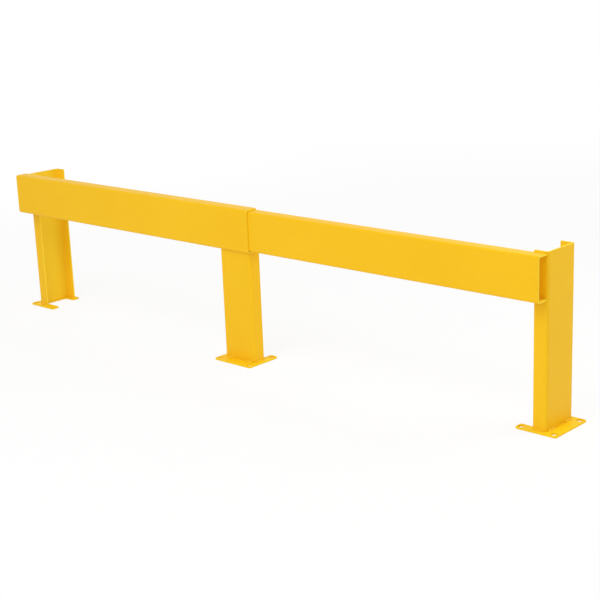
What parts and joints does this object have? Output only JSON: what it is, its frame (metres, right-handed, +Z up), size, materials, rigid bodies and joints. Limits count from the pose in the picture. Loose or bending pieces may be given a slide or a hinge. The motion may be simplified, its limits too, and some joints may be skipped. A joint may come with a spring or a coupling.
{
  "type": "telescopic guard rail",
  "caption": "Floor guard rail of nested folded channel rails that slide along each other, on folded channel posts with notched base plates drilled for floor anchors.",
  "frame": {"origin": "on the floor, under the middle of the whole guard's box at rest", "axes": "+Z up, +X along the rails from the outer rail's end to the inner rail's end, the rails' smooth face towards -Y"},
  "size_m": [1.83, 0.174, 0.4],
  "materials": {
    "yellow_powder_coat": "semi-gloss yellow powder coat"
  },
  "bodies": {
    "outer_section": {"outer_rail": "yellow_powder_coat", "left_post": "yellow_powder_coat", "middle_post": "yellow_powder_coat", "left_base_plate": "yellow_powder_coat", "middle_base_plate": "yellow_powder_coat", "left_foot_weld": "yellow_powder_coat", "middle_foot_weld": "yellow_powder_coat", "left_rail_weld": "yellow_powder_coat", "middle_rail_weld": "yellow_powder_coat"},
    "inner_section": {"inner_rail": "yellow_powder_coat", "right_post": "yellow_powder_coat", "right_base_plate": "yellow_powder_coat", "right_foot_weld": "yellow_powder_coat", "right_rail_weld": "yellow_powder_coat"}
  },
  "joints": [
    {"name": "rail_slide", "type": "slide", "parent": "outer_section", "child": "inner_section", "axis": [1, 0, 0], "range_m": [-0.07, 0.33]}
  ]
}
